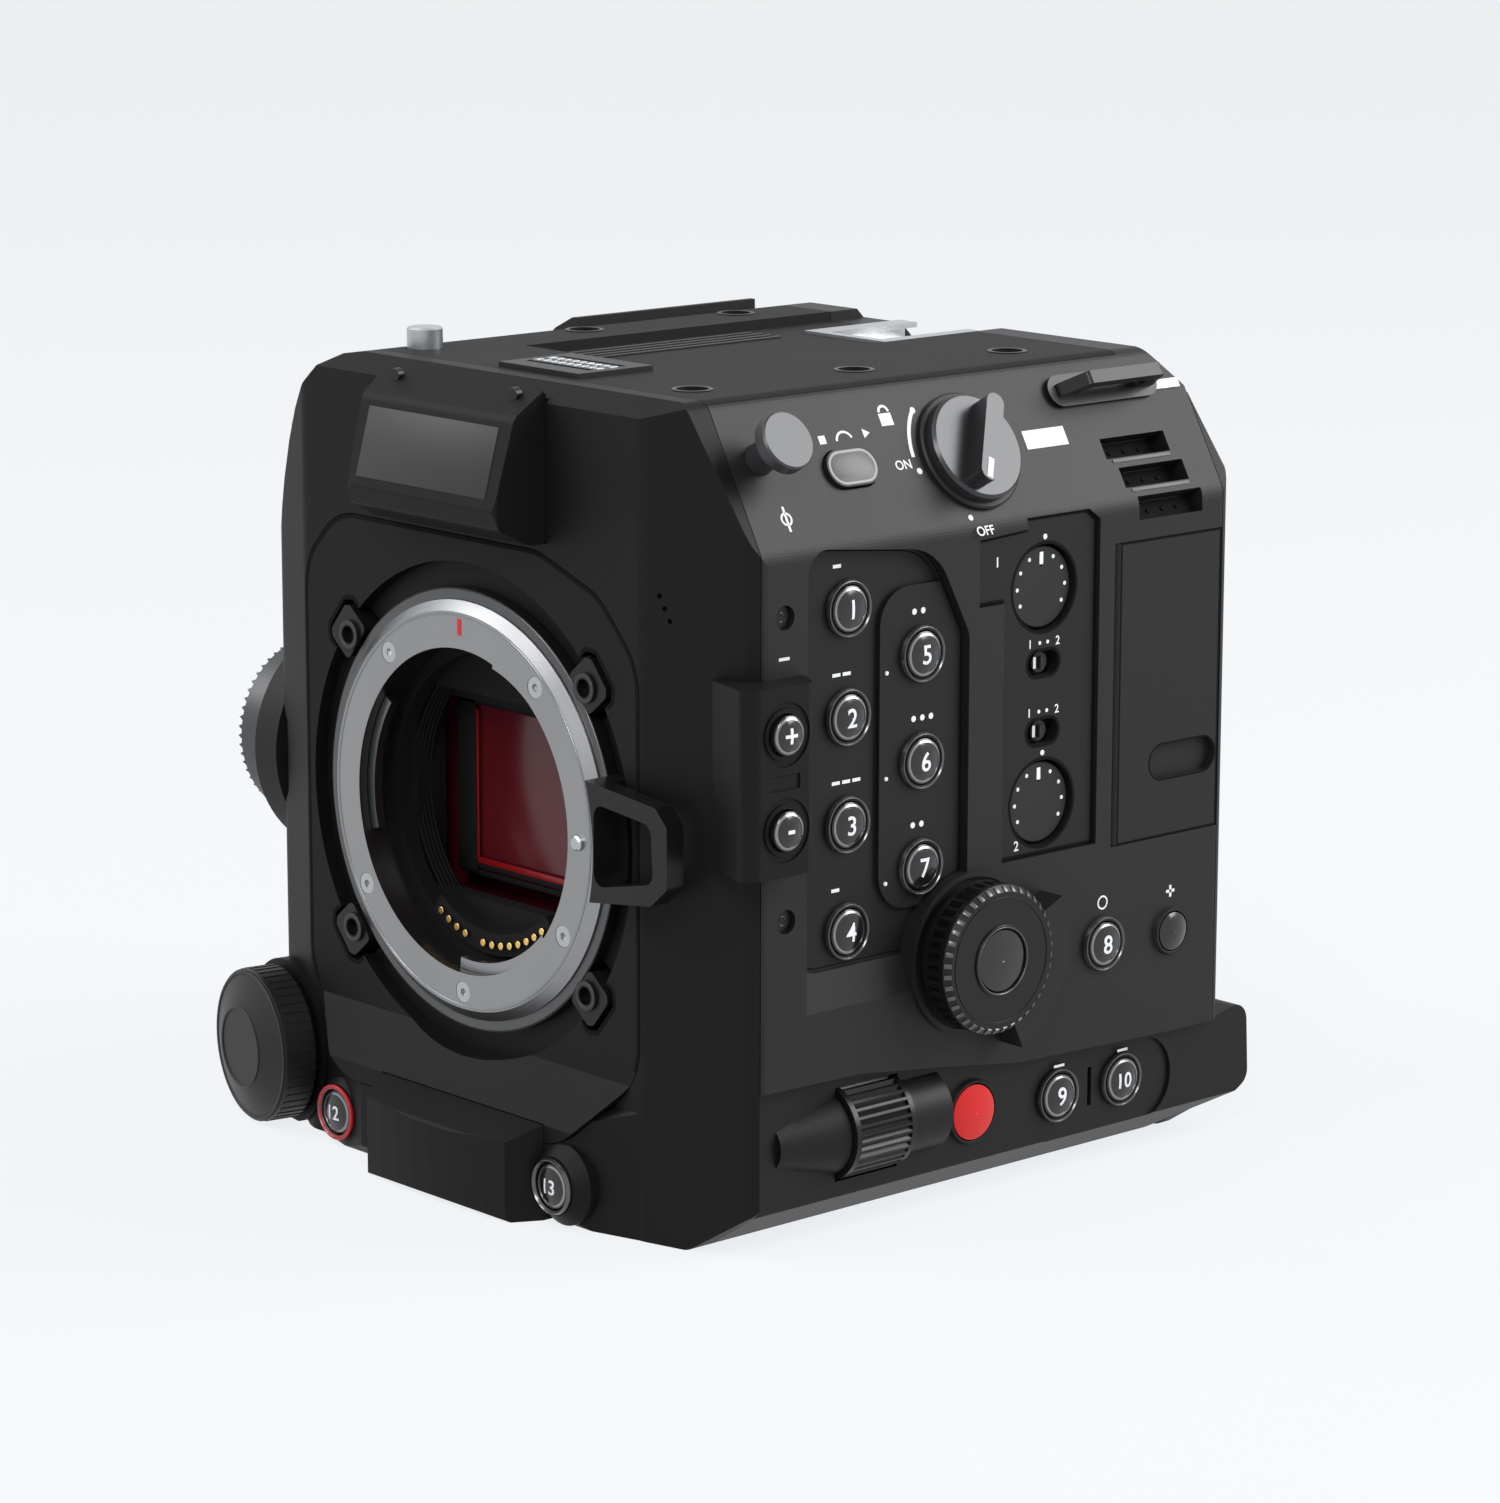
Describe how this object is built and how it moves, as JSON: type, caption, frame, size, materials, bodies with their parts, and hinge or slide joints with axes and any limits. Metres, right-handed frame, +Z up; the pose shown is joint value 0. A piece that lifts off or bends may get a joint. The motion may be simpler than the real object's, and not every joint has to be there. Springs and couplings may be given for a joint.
{
  "type": "digital cinema camera",
  "caption": "Box-shaped digital cinema camera body with a steel lens mount ring, numbered side buttons, dials, a media door, a rear battery and no lens.",
  "frame": {"origin": "mouth of the small tripod socket in the base plate, under the lens axis", "axes": "+X towards the control side, +Y towards the rear, +Z up; the lens looks along -Y"},
  "size_m": [0.1455, 0.1321, 0.1385],
  "materials": {
    "front_casing": "fine texture",
    "side_casing": "fine texture",
    "dark_casing": "fine texture",
    "dark_panel": "smooth",
    "steel": "brushed",
    "black_metal": "satin",
    "gold": "plated",
    "sensor": "coated",
    "board": "solder mask",
    "sink": "machined",
    "plastic": "satin",
    "gloss_button": "domed",
    "red_button": "domed",
    "dial_metal": "bead blasted",
    "lamp": "translucent"
  },
  "bodies": {
    "body": {"front_cover": "front_casing", "mount_panel": "front_casing", "chin": "front_casing", "control_cover": "side_casing", "lower_rail": "dark_casing", "button_panel": "dark_panel", "level_panel": "dark_panel", "nd_block": "front_casing", "top_plate": "side_casing", "left_cover": "dark_casing", "base_plate": "dark_casing", "rear_cover": "dark_casing", "chassis": "black_metal", "mount_ring": "steel", "mount_lugs": "black_metal", "contact_block": "gold", "sensor_unit": "sensor", "main_board": "board", "fan_frame": "sink", "card_cage": "sink", "rear_terminals": "plastic", "accessory_shoe": "steel", "top_terminal": "plastic", "rosette": "steel", "fasteners": "steel", "strap_loop": "black_metal", "tally_lamps": "lamp", "tape_hook": "steel"},
    "button_1": {"button_1": "gloss_button"},
    "button_2": {"button_2": "gloss_button"},
    "button_3": {"button_3": "gloss_button"},
    "button_4": {"button_4": "gloss_button"},
    "button_5": {"button_5": "gloss_button"},
    "button_6": {"button_6": "gloss_button"},
    "button_7": {"button_7": "gloss_button"},
    "button_8": {"button_8": "gloss_button"},
    "status_button": {"status_button": "gloss_button"},
    "record_button": {"record_button": "red_button"},
    "button_9": {"button_9": "gloss_button"},
    "button_10": {"button_10": "gloss_button"},
    "nd_plus": {"nd_plus": "gloss_button"},
    "nd_minus": {"nd_minus": "gloss_button"},
    "button_12": {"button_12": "gloss_button"},
    "button_13": {"button_13": "gloss_button"},
    "mode_button": {"mode_button": "side_casing"},
    "select_dial": {"select_dial": "black_metal"},
    "select_push": {"select_push": "gloss_button"},
    "power_dial": {"power_dial": "dial_metal"},
    "level_knob_1": {"level_knob_1": "plastic"},
    "level_knob_2": {"level_knob_2": "plastic"},
    "level_switch_1": {"level_switch_1": "plastic"},
    "level_switch_2": {"level_switch_2": "plastic"},
    "drum_wheel": {"drum_wheel": "black_metal"},
    "media_door": {"media_door": "side_casing"},
    "lock_ring": {"lock_ring": "black_metal"},
    "lock_pin": {"lock_pin": "steel"},
    "nd_filter": {"nd_filter": "black_metal"},
    "fan_rotor": {"fan_rotor": "plastic"},
    "battery": {"battery": "dark_casing"},
    "terminal_cap": {"terminal_cap": "plastic"}
  },
  "joints": [
    {"name": "button_1_press", "type": "slide", "parent": "body", "child": "button_1", "axis": [-1, 0, 0], "range_m": [0, 0.0006], "stiffness_N_per_m": 180},
    {"name": "button_2_press", "type": "slide", "parent": "body", "child": "button_2", "axis": [-1, 0, 0], "range_m": [0, 0.0006], "stiffness_N_per_m": 180},
    {"name": "button_3_press", "type": "slide", "parent": "body", "child": "button_3", "axis": [-1, 0, 0], "range_m": [0, 0.0006], "stiffness_N_per_m": 180},
    {"name": "button_4_press", "type": "slide", "parent": "body", "child": "button_4", "axis": [-1, 0, 0], "range_m": [0, 0.0006], "stiffness_N_per_m": 180},
    {"name": "button_5_press", "type": "slide", "parent": "body", "child": "button_5", "axis": [-1, 0, 0], "range_m": [0, 0.0006], "stiffness_N_per_m": 180},
    {"name": "button_6_press", "type": "slide", "parent": "body", "child": "button_6", "axis": [-1, 0, 0], "range_m": [0, 0.0006], "stiffness_N_per_m": 180},
    {"name": "button_7_press", "type": "slide", "parent": "body", "child": "button_7", "axis": [-1, 0, 0], "range_m": [0, 0.0006], "stiffness_N_per_m": 180},
    {"name": "button_8_press", "type": "slide", "parent": "body", "child": "button_8", "axis": [-1, 0, 0], "range_m": [0, 0.0006], "stiffness_N_per_m": 180},
    {"name": "status_button_press", "type": "slide", "parent": "body", "child": "status_button", "axis": [-1, 0, 0], "range_m": [0, 0.0006], "stiffness_N_per_m": 180},
    {"name": "record_button_press", "type": "slide", "parent": "body", "child": "record_button", "axis": [-1, 0, 0], "range_m": [0, 0.0006], "stiffness_N_per_m": 180},
    {"name": "button_9_press", "type": "slide", "parent": "body", "child": "button_9", "axis": [-1, 0, 0], "range_m": [0, 0.0006], "stiffness_N_per_m": 180},
    {"name": "button_10_press", "type": "slide", "parent": "body", "child": "button_10", "axis": [-1, 0, 0], "range_m": [0, 0.0006], "stiffness_N_per_m": 180},
    {"name": "nd_plus_press", "type": "slide", "parent": "body", "child": "nd_plus", "axis": [-1, 0, 0], "range_m": [0, 0.0006], "stiffness_N_per_m": 180},
    {"name": "nd_minus_press", "type": "slide", "parent": "body", "child": "nd_minus", "axis": [-1, 0, 0], "range_m": [0, 0.0006], "stiffness_N_per_m": 180},
    {"name": "button_12_press", "type": "slide", "parent": "body", "child": "button_12", "axis": [0, 1, 0], "range_m": [0, 0.0006], "stiffness_N_per_m": 180},
    {"name": "button_13_press", "type": "slide", "parent": "body", "child": "button_13", "axis": [0, 1, 0], "range_m": [0, 0.0006], "stiffness_N_per_m": 180},
    {"name": "mode_button_press", "type": "slide", "parent": "body", "child": "mode_button", "axis": [-0.8706, 0, -0.4921], "range_m": [0, 0.0006], "stiffness_N_per_m": 180},
    {"name": "select_dial_turn", "type": "hinge", "parent": "body", "child": "select_dial", "pos_m": [0.064, 0.001, 0.0428], "axis": [1, 0, 0], "continuous": true},
    {"name": "select_push_press", "type": "slide", "parent": "select_dial", "child": "select_push", "axis": [-1, 0, 0], "range_m": [0, 0.0006], "stiffness_N_per_m": 180},
    {"name": "power_dial_turn", "type": "hinge", "parent": "body", "child": "power_dial", "pos_m": [0.05784, 0.0056, 0.1229], "axis": [0.8706, 0, 0.4921], "range_deg": [-30, 60]},
    {"name": "level_knob_1_turn", "type": "hinge", "parent": "body", "child": "level_knob_1", "pos_m": [0.0632, 0.018, 0.1003], "axis": [1, 0, 0], "range_deg": [-135, 135]},
    {"name": "level_knob_2_turn", "type": "hinge", "parent": "body", "child": "level_knob_2", "pos_m": [0.0632, 0.018, 0.0648], "axis": [1, 0, 0], "range_deg": [-135, 135]},
    {"name": "level_switch_1_slide", "type": "slide", "parent": "body", "child": "level_switch_1", "axis": [0, 1, 0], "range_m": [-0.0015, 0.0015]},
    {"name": "level_switch_2_slide", "type": "slide", "parent": "body", "child": "level_switch_2", "axis": [0, 1, 0], "range_m": [-0.0015, 0.0015]},
    {"name": "drum_wheel_turn", "type": "hinge", "parent": "body", "child": "drum_wheel", "pos_m": [0.059, -0.0195, 0.017], "axis": [0, 1, 0], "continuous": true},
    {"name": "media_door_hinge", "type": "hinge", "parent": "body", "child": "media_door", "pos_m": [0.0627, 0.0351, 0.0804], "axis": [0, 0, -1], "range_deg": [0, 95]},
    {"name": "lock_ring_turn", "type": "hinge", "parent": "body", "child": "lock_ring", "pos_m": [0, -0.0492, 0.063], "axis": [0, -1, 0], "range_deg": [-12, 12]},
    {"name": "lock_pin_press", "type": "slide", "parent": "body", "child": "lock_pin", "axis": [0, 1, 0], "range_m": [0, 0.0008], "stiffness_N_per_m": 250},
    {"name": "nd_filter_lower", "type": "slide", "parent": "body", "child": "nd_filter", "axis": [0, 0, -1], "range_m": [0, 0.0315]},
    {"name": "fan_rotor_spin", "type": "hinge", "parent": "body", "child": "fan_rotor", "pos_m": [0.022, 0.002, 0.081], "axis": [0, 1, 0], "continuous": true},
    {"name": "battery_slide", "type": "slide", "parent": "body", "child": "battery", "axis": [0, 1, 0], "range_m": [0, 0.06]},
    {"name": "terminal_cap_pull", "type": "slide", "parent": "body", "child": "terminal_cap", "axis": [-0.1736, -0.9848, 0], "range_m": [0, 0.02]}
  ]
}
